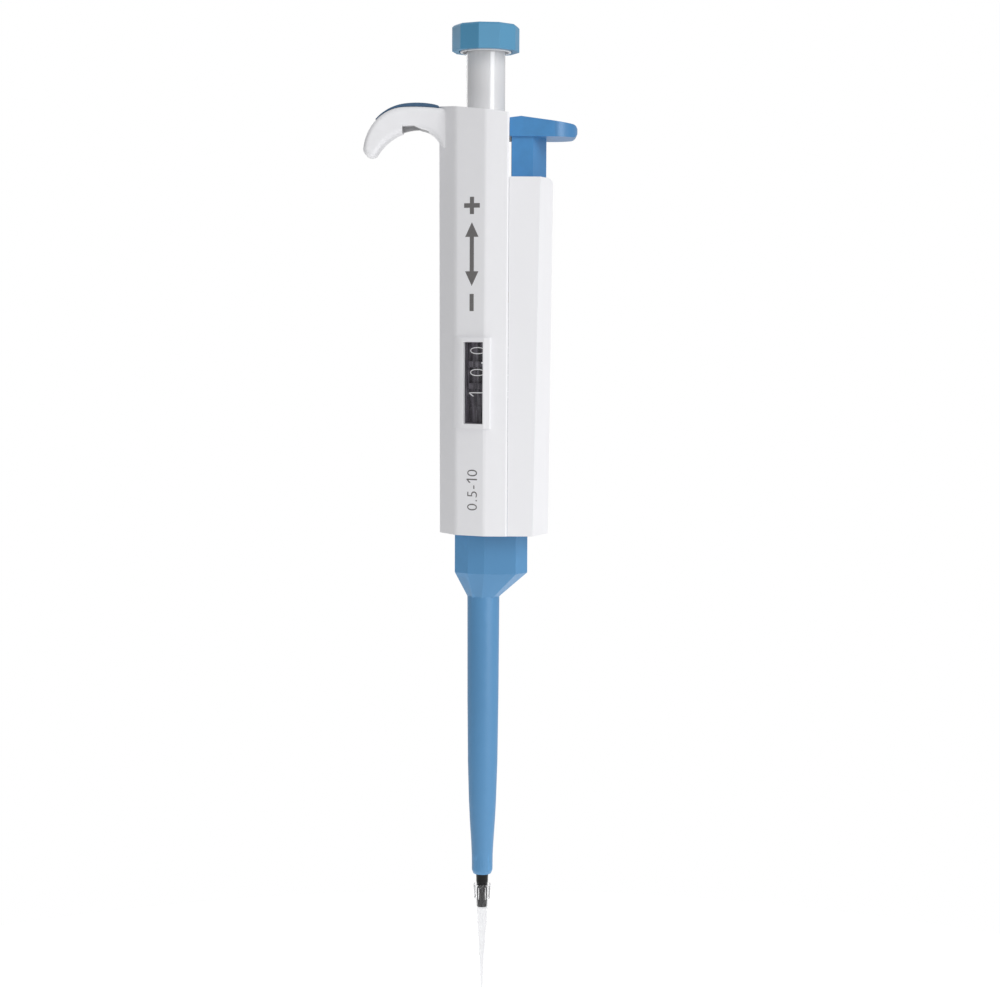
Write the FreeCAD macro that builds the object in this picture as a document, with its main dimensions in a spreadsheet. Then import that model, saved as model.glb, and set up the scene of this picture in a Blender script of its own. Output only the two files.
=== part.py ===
import FreeCAD, Part
import math
import operator
import os
import Sketcher
from types import SimpleNamespace

# Single-channel air-displacement pipette, 0.5 to 10 microlitres, with a disposable tip.
# Millimetres. Z runs up the plunger axis from the tip's orifice, +X is the ejector's side,
# -X the finger hook's side and -Y the side with the volume window.

Vector = FreeCAD.Vector
document = FreeCAD.newDocument("Pipette")

# ---------------------------------------------------------------------------------------
# Driving dimensions
# ---------------------------------------------------------------------------------------

DIMENSIONS = {
    # Motion
    "blowout_travel": 2.5,
    "slide_gap": 0.05,           # radial clearance of a shaft that slides or turns
    "free_gap": 0.2,             # clearance between parts that pass each other

    # Handle section, half of it: the other half mirrors it in Y
    "handle_bottom": 133.3,
    "handle_top": 254.0,         # before the sloping top is cut
    "hook_side_x": -12.35,       # narrow face under the hook
    "hook_side_y": 2.6,
    "slant_corner_x": -7.85,     # corner between the two slanted faces
    "slant_corner_y": 9.3,
    "front_depth": 12.8,         # flat front face
    "front_edge_x": 6.1,
    "side_x": 6.6,               # face towards the ejector column
    "handle_draft": 0.45,        # how much further out the hook side is at the top
    "wall": 1.8,
    "thin_wall": 0.75,           # between the stem and the ejector column
    "column_closed_above": 212.0,
    "cavity_top": 243.5,
    "top_slope_left": 252.05,    # height of the sloping top at the hook side
    "top_slope_right": 249.65,   # and at the ejector side
    "slant_rounding": 3.2,       # of the corner between the slanted faces
    "front_rounding": 2.6,       # of the corner beside the flat front face

    # Ejector column cover
    "cover_top": 232.3,
    "cover_depth": 12.4,
    "cover_corner_x": 13.7,
    "cover_end_x": 18.15,
    "cover_end_y": 3.9,
    "cover_draft": 1.5,
    "cover_end_draft": 0.75,
    "cover_wall": 1.6,
    "spring_shelf": 193.0,
    "shelf_thickness": 3.0,

    # Finger hook
    "hook_half_width": 5.2,
    "pad_half_width": 4.3,
    "hook_rounding": 1.3,        # of the rims on both of its sides
    "hook_web": 1.0,             # half of the web between the two side notches

    # Stem, button and window
    "stem_radius": 5.45,
    "stem_bottom": 226.0,
    "hexagon_size": 6.6,         # across flats of the stem's bore
    "hexagon_top": 262.0,
    "bushing_wall": 0.2,
    "button_bottom": 267.3,
    "button_top": 274.4,
    "button_radius": 9.4,        # to the corners of the ten-sided button
    "button_turn": -83.5,        # of its first corner, from -Y towards +X
    "button_chamfer": 0.55,
    "button_pocket": 5.1,
    "ring_radius": 7.1,
    "ring_wall": 0.7,
    "ring_lip": 0.25,            # below the button
    "ring_gap": 0.35,            # groove between the ring and the button's lower edge
    "window_angle": 24.03,       # the window's face, turned from the front
    "window_bottom": 164.5,
    "window_top": 187.1,
    "window_left": -0.8,         # along the slanted face, from below the axis
    "window_right": 5.06,
    "bezel_margin": 1.25,
    "bezel_rise": 0.68,          # over the front face, square to it
    "mask_depth": 0.35,          # from the slanted face to the mask around the lens
    "mask_wall": 0.2,
    "lens_depth": 0.3,
    "lens_thickness": 1.0,

    # Counter
    "drum_radius": 8.5,
    "drum_height": 5.97,
    "drum_pitch": 6.07,
    "tenths_middle": 184.7,
    "spindle_radius": 3.2,
    "rod_radius": 1.5,
    "neck_radius": 1.2,          # of the rod's thinner top
    "thread_radius": 4.2,
    "spindle_hexagon": 6.4,
    "spindle_bottom": 162.0,
    "thread_bottom": 196.0,
    "thread_top": 210.4,
    "bush_plate": 3.0,
    "bush_wall": 2.2,
    "spindle_top": 245.0,
    "frame_bottom": 158.4,
    "frame_plate": 2.8,
    "frame_upper": 189.2,
    "frame_top": 193.2,
    "gear_module": 0.55,
    "drum_teeth": 28,
    "pinion_teeth": 8,
    "gear_skin": 1.5,            # drum skin left above the drum's middle
    "pinion_shaft_radius": 0.7,
    "ball_radius": 1.0,
    "ball_offset": 5.5,

    # Barrel, springs and blow-out stop
    "barrel_radius": 6.1,
    "barrel_bore": 5.45,
    "barrel_floor": 124.6,
    "spring_floor": 128.2,
    "thread_end": 127.0,         # of the barrel's lower thread
    "barrel_top": 158.2,
    "collar_bottom": 157.0,
    "collar_radius": 4.85,
    "collar_height": 2.0,
    "cup_top": 144.2,
    "cup_flange_height": 2.0,
    "cup_flange_radius": 5.2,
    "cup_radius": 4.0,
    "cup_bore": 3.45,

    # Nozzle, piston and tip
    "nozzle_end": 24.3,
    "nozzle_end_radius": 1.375,
    "nozzle_flange_bottom": 122.0,
    "nozzle_flange_top": 124.5,
    "nozzle_flange_radius": 5.3,
    "nozzle_tube_radius": 3.2,
    "piston_radius": 0.5,
    "piston_bottom": 40.0,
    "seal_seat": 60.0,
    "seal_bore": 1.7,
    "piston_head_bottom": 96.0,
    "piston_head_top": 126.4,
    "piston_top": 120.0,
    "tip_height": 30.8,
    "tip_rim_radius": 2.52,
    "tip_collar_radius": 2.1,    # between its ribs
    "tip_collar_bottom": 26.8,
    "tip_orifice_radius": 0.2,

    # Ejector
    "rod_x": 12.7,
    "rod_bottom": 144.6,
    "rod_top": 222.0,
    "ejector_stem_bottom": 214.0,
    "ejector_left": 6.7,
    "ejector_right": 25.6,
    "ejector_half_depth": 9.0,
    "ejector_lower_face": 243.5,
    "sleeve_end": 34.2,
    "sleeve_shoulder": 114.8,    # where the tube widens to the block
    "sleeve_top_radius": 4.56,
    "block_bottom": 122.1,
    "block_top": 144.5,
    "block_half_depth": 8.2,
    "sleeve_wall": 0.75,
    "block_wall": 1.3,
    "lug_top": 151.5,
}


class Dim:
    """A size: its value now, and the expression that binds it to the sheet's cells."""

    def __init__(self, value, formula=None):
        self.value = float(value)
        self.formula = formula or f"({value:.6g})"

    def __add__(self, other):
        return combine(self, "+", other)

    def __radd__(self, other):
        return combine(other, "+", self)

    def __sub__(self, other):
        return combine(self, "-", other)

    def __rsub__(self, other):
        return combine(other, "-", self)

    def __mul__(self, other):
        return combine(self, "*", other)

    def __rmul__(self, other):
        return combine(other, "*", self)

    def __truediv__(self, other):
        return combine(self, "/", other)

    def __neg__(self):
        return combine(0, "-", self)


OPERATIONS = {"+": operator.add, "-": operator.sub, "*": operator.mul, "/": operator.truediv}


def as_dim(number):
    return number if isinstance(number, Dim) else Dim(number)


def combine(left, sign, right):
    left, right = as_dim(left), as_dim(right)
    value = OPERATIONS[sign](left.value, right.value)
    return Dim(value, f"({left.formula} {sign} {right.formula})")


def fill_sheet():
    """One row a dimension: its name, and its value in a cell with that name as alias."""
    sheet = document.addObject("Spreadsheet::Sheet", "dimensions")
    bound = {}
    for row, (name, value) in enumerate(DIMENSIONS.items(), start=1):
        sheet.set(f"A{row}", name)
        sheet.set(f"B{row}", f"{value:g}")
        sheet.setAlias(f"B{row}", name)
        bound[name] = Dim(value, f"dimensions.{name}")
    document.recompute()
    return SimpleNamespace(**bound)


size = fill_sheet()

# ---------------------------------------------------------------------------------------
# Sketches and features
# ---------------------------------------------------------------------------------------


def bind(thing, prop, dim):
    thing.setExpression(prop, as_dim(dim).formula)


def new_body(name):
    body = document.addObject("PartDesign::Body", name)
    body.Label = name
    return body


def sketch_on(body, role, offset=0, turn=0):
    """A sketch on one of the body's origin planes, moved along its normal or turned
    about its own upright axis."""
    plane = [item for item in body.Origin.OriginFeatures if item.Role == role][0]
    sketch = body.newObject("Sketcher::SketchObject", f"{body.Name}_sketch")
    sketch.AttachmentSupport = [(plane, "")]
    sketch.MapMode = "FlatFace"
    rotation = FreeCAD.Rotation(Vector(0, 1, 0), as_dim(turn).value)
    sketch.AttachmentOffset = FreeCAD.Placement(Vector(0, 0, as_dim(offset).value), rotation)
    bind(sketch, "AttachmentOffset.Base.z", offset)
    return sketch


def fix(sketch, kind, *where, dim):
    """A distance or radius constraint, bound to its cells."""
    dim = as_dim(dim)
    index = sketch.addConstraint(Sketcher.Constraint(kind, *where, dim.value))
    if "dimensions." in dim.formula:
        sketch.setExpression(f"Constraints[{index}]", dim.formula)


def fix_point(sketch, line, end, x, y):
    """Hold a vertex at x, y from the sketch's origin."""
    for kind, axis, dim in (("DistanceX", -2, x), ("DistanceY", -1, y)):
        if as_dim(dim).value == 0:
            sketch.addConstraint(Sketcher.Constraint("PointOnObject", line, end, axis))
        else:
            fix(sketch, kind, -1, 1, line, end, dim=dim)


def arc_between(start, end, radius):
    """The short arc between two points, centre on the left of the way for a radius
    above zero and on the right below zero."""
    chord = end - start
    middle = (start + end) * 0.5
    left = Vector(-chord.y, chord.x, 0).normalize()
    reach = math.sqrt(radius ** 2 - (chord.Length / 2) ** 2)
    centre = middle + left * math.copysign(reach, radius)
    first, last = (start, end) if radius > 0 else (end, start)
    angles = [math.atan2(point.y - centre.y, point.x - centre.x) for point in (first, last)]
    return Part.ArcOfCircle(Part.Circle(centre, Vector(0, 0, 1), abs(radius)), *angles)


def outline(sketch, corners):
    """A closed outline. A corner is (x, y), or (x, y, radius) where an arc leaves it."""
    values = [Vector(as_dim(c[0]).value, as_dim(c[1]).value, 0) for c in corners]
    first_line = sketch.GeometryCount
    ends = []
    for i, corner in enumerate(corners):
        following = values[(i + 1) % len(corners)]
        if len(corner) == 3:
            radius = as_dim(corner[2])
            line = sketch.addGeometry(arc_between(values[i], following, radius.value), False)
            fix(sketch, "Radius", line, dim=abs(radius.value))
            ends.append((1, 2) if radius.value > 0 else (2, 1))
        else:
            sketch.addGeometry(Part.LineSegment(values[i], following), False)
            ends.append((1, 2))
    for i in range(len(corners)):
        after = (i + 1) % len(corners)
        sketch.addConstraint(Sketcher.Constraint(
            "Coincident", first_line + i, ends[i][1], first_line + after, ends[after][0]))
    for i, corner in enumerate(corners):
        fix_point(sketch, first_line + i, ends[i][0], corner[0], corner[1])
    return sketch


def circle(sketch, x, y, radius):
    centre = Vector(as_dim(x).value, as_dim(y).value, 0)
    ring = Part.Circle(centre, Vector(0, 0, 1), as_dim(radius).value)
    line = sketch.addGeometry(ring, False)
    fix_point(sketch, line, 3, x, y)
    fix(sketch, "Radius", line, dim=radius)
    return sketch


def add(body, kind, sketch, **settings):
    feature = body.newObject(f"PartDesign::{kind}", f"{body.Name}_{kind.lower()}")
    feature.Profile = sketch
    for prop, setting in settings.items():
        if isinstance(setting, Dim):
            bind(feature, prop, setting)
        else:
            setattr(feature, prop, setting)
    body.Tip = feature
    return feature


def pad_between(body, low, high, draw):
    """An upright pad from one height to another. draw(sketch) makes its outline."""
    low, high = as_dim(low), as_dim(high)
    sketch = sketch_on(body, "XY_Plane", offset=low)
    draw(sketch)
    return add(body, "Pad", sketch, Length=high - low)


def cut_between(body, low, high, draw):
    """An upright pocket from one height to another."""
    low, high = as_dim(low), as_dim(high)
    sketch = sketch_on(body, "XY_Plane", offset=low)
    draw(sketch)
    return add(body, "Pocket", sketch, Length=high - low, Reversed=True)


def turned(body, profile, kind="Revolution"):
    """A solid of revolution about the body's Z axis from (radius, height) corners."""
    sketch = outline(sketch_on(body, "XZ_Plane"), profile)
    return add(body, kind, sketch, ReferenceAxis=(sketch, ["V_Axis"]), Angle=360.0)


def ring(name, bore, radius, low, high):
    """A plain ring or tube on the plunger axis."""
    body = new_body(name)
    turned(body, [(bore, low), (radius, low), (radius, high), (bore, high)])
    return body


def mirrored(half):
    """The closed outline of a section that is the same on both sides of the XZ plane.
    An arc that leaves one corner in front leaves the other end of that arc at the back."""
    arcs = [corner[2:] for corner in half]
    front = [(x, -y, *arc) for (x, y, *_), arc in zip(half, arcs)]
    back = [(x, y, *arc) for (x, y, *_), arc in zip(half, [()] + arcs)]
    return front + back[::-1]


def rounded(before, corner, after, radius):
    """The two ends of the arc that rounds a corner, between its neighbours."""
    places = [Vector(as_dim(x).value, as_dim(y).value, 0) for x, y in (before, corner, after)]
    sides = [places[0] - places[1], places[2] - places[1]]
    reach = radius.value * math.tan((math.pi - sides[0].getAngle(sides[1])) / 2)
    ends = []
    for neighbour, side in zip((before, after), sides):
        share = reach / side.Length
        ends.append([here + (there - here) * share for here, there in zip(corner, neighbour)])
    return [(*ends[0], radius), tuple(ends[1])]


def loft(body, low, low_half, high, high_half, kind="AdditiveLoft"):
    """A straight loft between two level sections."""
    sections = []
    for level, half in ((low, low_half), (high, high_half)):
        sketch = sketch_on(body, "XY_Plane", offset=level)
        sections.append(outline(sketch, mirrored(half)))
    return add(body, kind, sections[0], Sections=[sections[1]], Ruled=True)


def polygon(corners, radius, first_angle):
    """Corners of a regular polygon; angles run from -Y towards +X."""
    angles = [math.radians(first_angle + 360 * i / corners) for i in range(corners)]
    return [(radius * math.sin(angle), -radius * math.cos(angle)) for angle in angles]


def hexagon(across_flats):
    return polygon(6, across_flats * (0.5 / math.cos(math.pi / 6)), 0)


def place(body, x=0, y=0, z=0):
    for axis, dim in (("x", x), ("y", y), ("z", z)):
        bind(body, f"Placement.Base.{axis}", dim)
    return body


def spring(name, x, y, low, high, coil_radius, wire_radius, turns):
    """A round-wire compression spring standing between two heights."""
    body = new_body(name)
    sketch = circle(sketch_on(body, "XZ_Plane"), coil_radius, wire_radius, wire_radius)
    helix = add(body, "AdditiveHelix", sketch, ReferenceAxis=(sketch, ["V_Axis"]),
                Mode="height-turns-angle", Turns=turns, Angle=0.0)
    bind(helix, "Height", as_dim(high) - low - 2 * wire_radius)
    return place(body, x, y, low)


def round_edges(body, radius, chosen, kind="Fillet"):
    """Round or chamfer the edges of the tip feature that chosen(edge) picks."""
    document.recompute()
    base = body.Tip
    names = [f"Edge{i}" for i, edge in enumerate(base.Shape.Edges, start=1) if chosen(edge)]
    feature = body.newObject(f"PartDesign::{kind}", f"{body.Name}_{kind.lower()}")
    feature.Base = (base, names)
    bind(feature, "Radius" if kind == "Fillet" else "Size", radius)
    body.Tip = feature
    return feature


# ---------------------------------------------------------------------------------------
# Handle
# ---------------------------------------------------------------------------------------

HOOK_BACK_RADIUS = 60.0      # long curve over the finger
HOOK_SHOULDER_RADIUS = 11.2  # where the hook turns down


def handle_half(draft):
    """Half of the main column's section; draft moves the hook side out."""
    hook_side = (size.hook_side_x - draft, size.hook_side_y)
    slant_corner = (size.slant_corner_x - draft, size.slant_corner_y)
    front_corner = (0.0, size.front_depth)
    front_end = (size.front_edge_x, size.front_depth)
    bevel = size.side_x - size.front_edge_x
    return [hook_side,
            *rounded(hook_side, slant_corner, front_corner, size.slant_rounding),
            *rounded(slant_corner, front_corner, front_end, size.front_rounding),
            front_end, (size.side_x, size.front_depth - bevel)]


def cavity_half(draft):
    """Half of the section inside the main column's walls."""
    wall = size.wall
    front = size.front_depth - wall
    return [(size.hook_side_x - draft + wall, size.hook_side_y - 0.35 * wall),
            (size.slant_corner_x - draft + 0.55 * wall, size.slant_corner_y - 0.78 * wall),
            (0.25 * wall, front), (size.side_x - size.thin_wall, front)]


def hook_top():
    """Upper line of the hook from the column to its tip, without the pad."""
    return [(-8.0, 251.0), (-12.85, 251.5, Dim(HOOK_BACK_RADIUS)),
            (-23.0, 251.75, Dim(HOOK_SHOULDER_RADIUS)), (-30.4, 248.1, Dim(13.65)),
            (-33.85, 240.2, Dim(2.1))]


def handle_shell():
    body = new_body("handle_shell")
    loft(body, size.handle_bottom, handle_half(0), size.handle_top,
         handle_half(size.handle_draft))

    # Finger hook, moulded on
    below = [(-30.3, 238.7, Dim(-14.0)), (-18.2, 245.8, Dim(-6.2)), (-12.6, 241.6),
             (-8.0, 238.0)]
    sketch = outline(sketch_on(body, "XZ_Plane"), hook_top() + below)
    add(body, "Pad", sketch, Length=2 * size.hook_half_width, Midplane=True)
    round_edges(body, size.hook_rounding, on_hook_rim)

    # Sloping top
    slope = [(-13.5, size.top_slope_left + 0.1), (7.5, size.top_slope_right - 0.1),
             (7.5, size.handle_top + 1), (-13.5, size.handle_top + 1)]
    sketch = outline(sketch_on(body, "XZ_Plane"), slope)
    add(body, "Pocket", sketch, Length=60.0, Midplane=True)

    # Cavity, open below and open to the ejector column lower down
    loft(body, size.handle_bottom - 1, cavity_half(0), size.cavity_top,
         cavity_half(size.handle_draft), "SubtractiveLoft")
    opening = mirrored([(size.side_x - size.thin_wall - 0.5, size.front_depth - size.wall),
                        (size.side_x + 1, size.front_depth - size.wall)])
    cut_between(body, size.handle_bottom - 1, size.column_closed_above,
                lambda sketch: outline(sketch, opening))

    # Bore for the stem's liner, and the window
    cut_between(body, size.cavity_top - 1, size.handle_top,
                lambda sketch: circle(sketch, 0, 0, stem_liner_radius()))
    window_cut(body)

    # Notches in the hook's underside, one from each side of its web
    for side in (-1, 1):
        offset = size.hook_web if side > 0 else -size.hook_web
        notch = [(-23.0, 242.0), (-16.0, 242.0), (-16.4, 245.2), (-19.8, 246.7),
                 (-23.0, 246.5)]
        sketch = outline(sketch_on(body, "XZ_Plane", offset=offset), notch)
        add(body, "Pocket", sketch, Length=size.hook_half_width - size.hook_web + 1,
            Reversed=side > 0)
    return body


def on_hook_rim(edge):
    """Edges of the hook's two flat sides, as far as they are clear of the column."""
    box = edge.BoundBox
    flat = box.YLength < 1e-3 and abs(abs(box.YMax) - size.hook_half_width.value) < 1e-3
    return flat and box.XMax < -15.0


def stem_liner_radius():
    return size.stem_radius + size.slide_gap + size.bushing_wall


def window_corners(inset=0):
    """The window's outline, seen square to the slanted face."""
    left, right = size.window_left + inset, size.window_right - inset
    low, high = size.window_bottom + inset, size.window_top - inset
    return [(left, low), (right, low), (right, high), (left, high)]


def window_cut(body):
    """Cut the window's opening outwards from the axis, square to the slanted face."""
    sketch = sketch_on(body, "XZ_Plane", turn=-size.window_angle)
    add(body, "Pocket", outline(sketch, window_corners()), Length=15.0, Reversed=True)


def window_bezel():
    """Raised frame that follows the slanted face and the edge of the front face."""
    body = new_body("window_bezel")
    front = size.front_depth * -1
    raised = front - size.bezel_rise
    section = [(-8.41, -8.8), (-8.02, -9.25), (-7.22, -9.69), (0.0, front),
               (1.75, front), (1.75, raised + 0.15), (1.6, raised), (-0.1, raised),
               (-5.82, -10.93, Dim(-7.0)), (-8.5, -8.83)]
    pad_between(body, size.window_bottom - size.bezel_margin,
                size.window_top + size.bezel_margin,
                lambda sketch: outline(sketch, section))
    window_cut(body)
    return body


def window_plate(name, depth, thickness, *outlines):
    """A plate parallel to the slanted face, its outer side at a depth below that face."""
    body = new_body(name)
    pad_in_window(body, depth, thickness, *outlines)
    body.Placement.Rotation = FreeCAD.Rotation(Vector(0, 0, 1), -DIMENSIONS["window_angle"])
    bind(body, "Placement.Rotation.Angle", -size.window_angle)
    return body


def pad_in_window(body, depth, thickness, *outlines):
    face = size.front_depth * math.cos(math.radians(DIMENSIONS["window_angle"]))
    sketch = sketch_on(body, "XZ_Plane", offset=face - depth - thickness)
    for corners in outlines:
        outline(sketch, corners)
    add(body, "Pad", sketch, Length=as_dim(thickness))


def window_lens():
    """Clear plate set into the mask, a little below the bezel's face."""
    inset = size.slide_gap + size.mask_wall + 0.02
    return window_plate("window_lens", size.lens_depth, size.lens_thickness,
                        window_corners(inset))


def window_mask():
    """Dark frame around the lens, with a bar over each gear of the counter."""
    depth, reach, bar = size.mask_depth, 2.35, 0.6
    body = window_plate("window_mask", depth, reach, window_corners(size.slide_gap),
                        window_corners(size.slide_gap + size.mask_wall))
    bars = []
    for place_number in (1, 2):
        low = gear_top(place_number) - size.drum_height / 2 + size.gear_skin
        high = drum_bottom(place_number - 1) + 0.05
        left, right = size.window_left + 0.1, size.window_right - 0.1
        bars.append([(left, low), (right, low), (right, high), (left, high)])
    pad_in_window(body, depth + reach - bar, bar, *bars)
    return body


def cover_half(corner_draft, end_draft, inset=0):
    """Half of the ejector column's section, open towards the main column."""
    left = size.side_x + 0.05 - (1 if inset else 0)
    return [
        (left, size.cover_depth - inset),
        (size.cover_corner_x + corner_draft - 0.6 * inset, size.cover_depth - inset),
        (size.cover_end_x + end_draft - 0.75 * inset, size.cover_end_y - 0.3 * inset),
    ]


def ejector_cover():
    body = new_body("ejector_cover")
    wall = size.cover_wall
    loft(body, size.handle_bottom, cover_half(0, 0),
         size.cover_top, cover_half(size.cover_draft, size.cover_end_draft))
    loft(body, size.handle_bottom - 1, cover_half(0, 0, wall), size.cover_top - wall,
         cover_half(size.cover_draft, size.cover_end_draft, wall), "SubtractiveLoft")

    # Rounded outer corner of the closed top
    end = size.cover_end_x + size.cover_end_draft
    corner = [(end - 1.7, size.cover_top, Dim(-1.75)), (end + 0.05, size.cover_top - 1.7),
              (end + 1, size.cover_top - 1.7), (end + 1, size.cover_top + 1),
              (end - 1.7, size.cover_top + 1)]
    sketch = outline(sketch_on(body, "XZ_Plane"), corner)
    add(body, "Pocket", sketch, Length=40.0, Midplane=True)

    # Opening in the top for the ejector's stem
    gap = size.free_gap
    cut_between(body, size.cover_top - wall - 1, size.cover_top + 1,
                lambda sketch: outline(sketch, mirrored(ejector_stem_half(gap))))

    # Shelf that the ejector's spring stands on
    shelf = [(size.rod_x - 3.1, size.cover_depth - 1.2),
             (size.cover_corner_x, size.cover_depth - 1.2),
             (size.cover_end_x - 0.5, size.cover_end_y - 0.4)]
    pad_between(body, size.spring_shelf, size.spring_shelf + size.shelf_thickness,
                lambda sketch: outline(sketch, mirrored(shelf)))
    cut_between(body, size.spring_shelf - 1, size.spring_shelf + size.shelf_thickness + 1,
                lambda sketch: circle(sketch, size.rod_x, 0, size.rod_radius + 0.1))
    return body


def hook_pad():
    """Soft pad along the top of the finger hook, thickest over the finger."""
    body = new_body("hook_pad")
    corners = [(-30.4, 248.1), (-30.38, 248.49, Dim(-13.05)), (-22.5, 252.7, Dim(-25.8)),
               (-14.6, 252.6, Dim(-8.2)), (-12.85, 252.1), (-12.85, 251.5, Dim(HOOK_BACK_RADIUS)),
               (-23.0, 251.75, Dim(HOOK_SHOULDER_RADIUS))]
    sketch = outline(sketch_on(body, "XZ_Plane"), corners)
    add(body, "Pad", sketch, Length=2 * size.pad_half_width, Midplane=True)
    return body


def stem_bushing():
    return ring("stem_bushing", size.stem_radius + size.slide_gap, stem_liner_radius(),
                size.cavity_top, size.cavity_top + 5.5)


# ---------------------------------------------------------------------------------------
# Button, stem and setting spindle
# ---------------------------------------------------------------------------------------

BUTTON_SIDES = 10


def push_button():
    """Ten-sided button, open below around its ring and the stem."""
    body = new_body("push_button")
    corners = polygon(BUTTON_SIDES, size.button_radius, DIMENSIONS["button_turn"])
    pad_between(body, size.button_bottom, size.button_top,
                lambda sketch: outline(sketch, corners))
    top = size.button_top.value
    round_edges(body, size.button_chamfer, lambda edge: edge.BoundBox.ZMin > top - 1e-3,
                "Chamfer")
    cut_between(body, size.button_bottom - 1, size.button_bottom + size.button_pocket,
                lambda sketch: circle(sketch, 0, 0, size.ring_radius))
    cut_between(body, size.button_bottom - 1, size.button_bottom + 1,
                lambda sketch: circle(sketch, 0, 0, size.ring_radius + size.ring_gap))
    return body


def button_ring():
    """White ring in the button's mouth; its lip hangs a little below the button."""
    return ring("button_ring", size.ring_radius - size.ring_wall, size.ring_radius,
                size.button_bottom - size.ring_lip, size.button_bottom + size.button_pocket)


def plunger_stem():
    """Hollow stem: a hexagonal bore that drives the spindle, a web that pushes the rod."""
    body = new_body("plunger_stem")
    top = size.button_bottom + size.button_pocket
    pad_between(body, size.stem_bottom, top,
                lambda sketch: circle(sketch, 0, 0, size.stem_radius))
    cut_between(body, size.stem_bottom - 1, size.hexagon_top,
                lambda sketch: outline(sketch, hexagon(size.hexagon_size)))
    cut_between(body, size.hexagon_top - 1, size.hexagon_top + 3,
                lambda sketch: circle(sketch, 0, 0, size.neck_radius + size.slide_gap))
    cut_between(body, size.hexagon_top + 2, top + 1,
                lambda sketch: circle(sketch, 0, 0, 2.9))
    return body


def volume_screw():
    """Hollow spindle: hexagon inside the stem, thread in the bush, shaft for the drums."""
    body = new_body("volume_screw")
    pad_between(body, size.spindle_bottom, size.thread_bottom,
                lambda sketch: circle(sketch, 0, 0, size.spindle_radius))
    pad_between(body, size.thread_bottom, size.thread_top,
                lambda sketch: circle(sketch, 0, 0, size.thread_radius))
    pad_between(body, size.thread_top, size.spindle_top,
                lambda sketch: outline(sketch, hexagon(size.spindle_hexagon)))
    cut_between(body, size.spindle_bottom - 1, size.spindle_top + 1,
                lambda sketch: circle(sketch, 0, 0, size.rod_radius + 0.1))
    return body


def threaded_bush():
    """Fixed nut around the spindle's thread, on a plate that fills the housing."""
    body = new_body("threaded_bush")
    plate = size.thread_bottom + 2
    plate_top = plate + size.bush_plate
    pad_between(body, plate, plate_top, lambda sketch: outline(sketch, frame_outline()))
    pad_between(body, plate_top, size.thread_top - 0.6,
                lambda sketch: circle(sketch, 0, 0, size.thread_radius + size.bush_wall))
    cut_between(body, plate - 1, size.thread_top,
                lambda sketch: circle(sketch, 0, 0, size.thread_radius + size.slide_gap))
    return body


# ---------------------------------------------------------------------------------------
# Counter
# ---------------------------------------------------------------------------------------

PINION_DIRECTION = 45.0      # from +X towards +Y


def frame_outline():
    """Plates that fit the inside of the handle with a little room all round."""
    return mirrored([(-10.2, 1.7), (-6.3, 7.6), (0.3, 10.7), (6.3, 10.7), (9.3, 8.4)])


def carry_distance():
    """Between the plunger axis and the pinion shaft: the sum of both pitch radii."""
    return size.gear_module * (size.drum_teeth + size.pinion_teeth) / 2


def pinion_place():
    """The pinion shaft stands behind the drums."""
    direction = math.radians(PINION_DIRECTION)
    return carry_distance() * math.cos(direction), carry_distance() * math.sin(direction)


def counter_frame():
    """Two plates and a back post: holds the drums, the pinion shaft and the barrel."""
    body = new_body("counter_frame")
    x, y = pinion_place()
    lower_top = size.frame_bottom + size.frame_plate
    for low, high in ((size.frame_bottom, lower_top), (size.frame_upper, size.frame_top)):
        pad_between(body, low, high, lambda sketch: outline(sketch, frame_outline()))
    post = [(-3.4, 8.95), (3.4, 8.95), (3.4, 10.6), (0.3, 10.6), (-3.4, 8.95 + 0.1)]
    pad_between(body, lower_top, size.frame_upper, lambda sketch: outline(sketch, post))
    cut_between(body, size.frame_bottom - 1, size.frame_top + 1,
                lambda sketch: circle(sketch, 0, 0, size.spindle_radius + size.slide_gap))
    cut_between(body, size.frame_bottom - 1, size.frame_bottom + 1.2,
                lambda sketch: circle(sketch, 0, 0, size.collar_radius + 0.35))
    cut_between(body, size.frame_bottom + 1, size.frame_upper + 1,
                lambda sketch: circle(sketch, x, y, size.pinion_shaft_radius))
    cut_between(body, size.frame_upper - 1, size.frame_top - 0.8,
                lambda sketch: circle(sketch, -size.ball_offset, 0, size.ball_radius + 0.1))
    return body


def drum_bottom(place_number):
    """Lower face of a ring of the counter, counted down from the tenths."""
    middle = size.tenths_middle - place_number * size.drum_pitch
    return middle - size.drum_height / 2


def drum(name, place_number, bore, geared):
    """Number drum. A geared one carries its gear above its skin."""
    body = new_body(name)
    low = drum_bottom(place_number)
    skin_top = low + size.drum_height
    if geared:
        skin_top = low + size.drum_height / 2 + size.gear_skin
    turned(body, [(bore, low), (size.drum_radius, low), (size.drum_radius, skin_top),
                  (bore, skin_top)])
    if geared:
        gear(body, size.drum_teeth, skin_top, gear_top(place_number), bore)
    return body


def gear_top(place_number):
    return drum_bottom(place_number) + size.drum_height


def gear(body, teeth, low, high, bore):
    """Gear ring on the body's axis: a root cylinder with straight-sided teeth."""
    pitch_radius = size.gear_module * teeth / 2
    root = pitch_radius - size.gear_module * 1.1
    outer = pitch_radius + size.gear_module * 0.9
    turned(body, [(bore, low), (root, low), (root, high), (bore, high)])
    sketch = sketch_on(body, "XY_Plane", offset=low)
    outline(sketch, [(root - 0.2, -0.45), (outer, -0.16), (outer, 0.16), (root - 0.2, 0.45)])
    tooth = add(body, "Pad", sketch, Length=as_dim(high) - low)
    pattern = body.newObject("PartDesign::PolarPattern", f"{body.Name}_teeth")
    pattern.Originals = [tooth]
    pattern.Axis = (sketch, ["N_Axis"])
    pattern.Angle = 360.0
    bind(pattern, "Occurrences", teeth)
    body.Tip = pattern


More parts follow.
